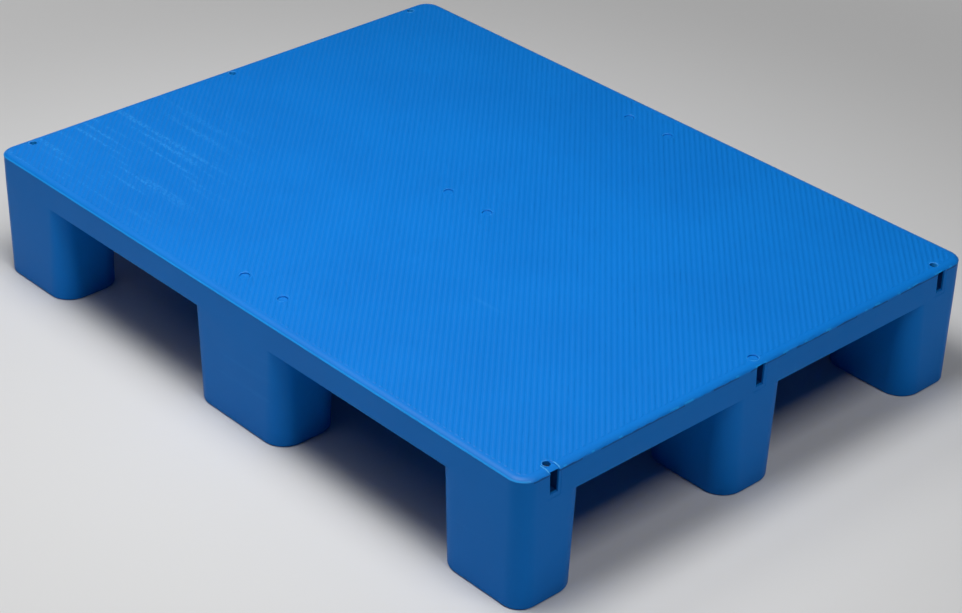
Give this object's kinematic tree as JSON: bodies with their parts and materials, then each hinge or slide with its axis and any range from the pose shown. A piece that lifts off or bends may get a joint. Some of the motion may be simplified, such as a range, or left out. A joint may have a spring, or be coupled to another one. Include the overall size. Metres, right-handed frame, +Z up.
{
  "type": "plastic pallet",
  "caption": "Flat plastic pallet: closed textured deck on a grid of hollow legs, open to forks from all four sides, with steel tubes under the deck.",
  "frame": {"origin": "on the floor under the centre of the pallet", "axes": "+X along the long side, +Y along the short side, +Z up"},
  "size_m": [0.8, 0.6, 0.14],
  "materials": {
    "deck_blue": "satin moulded polyethylene with a fine diamond knurl on top",
    "leg_blue": "satin moulded polyethylene, fine grain",
    "plug_blue": "satin moulded plug",
    "pin_blue": "matt moulded pin",
    "tube_steel": "drawn mild steel, oiled"
  },
  "bodies": {
    "root": {"deck_body": "deck_blue", "leg_front_left": "leg_blue", "leg_front_centre": "leg_blue", "leg_front_right": "leg_blue", "leg_middle_left": "leg_blue", "leg_middle_centre": "leg_blue", "leg_middle_right": "leg_blue", "leg_rear_left": "leg_blue", "leg_rear_centre": "leg_blue", "leg_rear_right": "leg_blue", "steel_tube_front_left": "tube_steel", "steel_tube_front_right": "tube_steel", "steel_tube_middle_left": "tube_steel", "steel_tube_middle_right": "tube_steel", "steel_tube_rear_left": "tube_steel", "steel_tube_rear_right": "tube_steel", "stop_plug_front_left": "plug_blue", "stop_plug_front_right": "plug_blue", "stop_plug_middle_left": "plug_blue", "stop_plug_middle_right": "plug_blue", "stop_plug_rear_left": "plug_blue", "stop_plug_rear_right": "plug_blue", "lock_pin_front_left": "pin_blue", "lock_pin_front_right": "pin_blue", "lock_pin_middle_left": "pin_blue", "lock_pin_middle_right": "pin_blue", "lock_pin_rear_left": "pin_blue", "lock_pin_rear_right": "pin_blue"}
  },
  "joints": []
}
